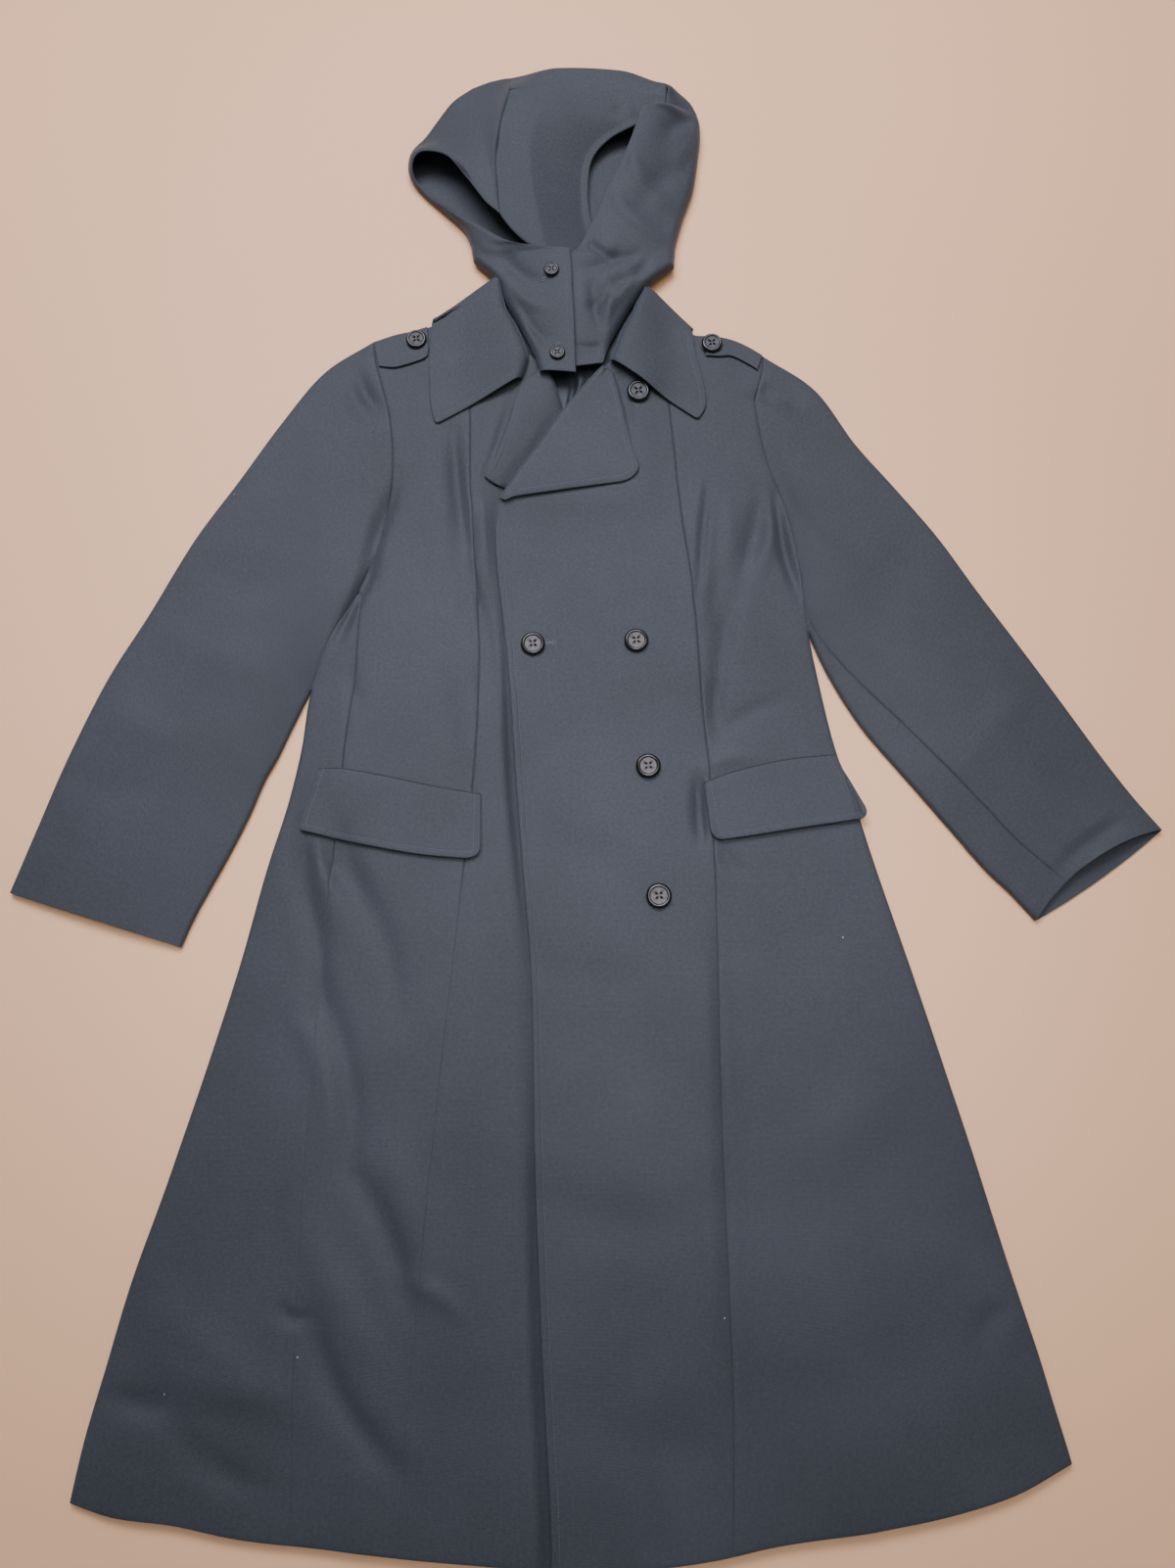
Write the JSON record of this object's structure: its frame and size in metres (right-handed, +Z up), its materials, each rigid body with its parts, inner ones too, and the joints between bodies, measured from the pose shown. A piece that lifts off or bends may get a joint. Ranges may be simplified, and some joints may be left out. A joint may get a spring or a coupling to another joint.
{
  "type": "military coat",
  "caption": "Long double-breasted coat with a buttoned-on hood, laid flat on its back: lapels, collar, shoulder straps, pocket flaps, sleeves and a flared skirt.",
  "frame": {"origin": "middle of the footprint, on the surface that the coat lies on", "axes": "+Y from the hem towards the hood, +X to the right of someone who looks down on the coat's front, +Z up from the surface"},
  "size_m": [1.162, 1.5724, 0.038],
  "materials": {
    "blue_grey_twill": "fine matte twill with a slight sheen",
    "lining_satin": "smooth satin lining",
    "button_plastic": "dark grey, matte in the middle with a glossy raised rim"
  },
  "bodies": {
    "root": {"back_left": "blue_grey_twill", "back_right": "blue_grey_twill", "side_back_left": "blue_grey_twill", "side_back_right": "blue_grey_twill", "side_front_left": "blue_grey_twill", "side_front_right": "blue_grey_twill", "front_left": "blue_grey_twill", "front_right": "blue_grey_twill", "lapel_left": "blue_grey_twill", "lapel_right": "blue_grey_twill", "collar": "blue_grey_twill", "pocket_flap_left": "blue_grey_twill", "pocket_flap_right": "blue_grey_twill", "shoulder_strap_left": "blue_grey_twill", "shoulder_strap_right": "blue_grey_twill", "sleeve_left_upper": "blue_grey_twill", "sleeve_left_under": "blue_grey_twill", "sleeve_right_upper": "blue_grey_twill", "sleeve_right_under": "blue_grey_twill", "hood_centre": "blue_grey_twill", "hood_left": "blue_grey_twill", "hood_right": "blue_grey_twill", "neck_lining": "lining_satin", "button_main_1": "button_plastic", "button_main_2": "button_plastic", "button_main_3": "button_plastic", "button_main_4": "button_plastic", "button_main_5": "button_plastic", "button_strap_left": "button_plastic", "button_strap_right": "button_plastic", "button_hood_upper": "button_plastic", "button_hood_lower": "button_plastic"}
  },
  "joints": []
}
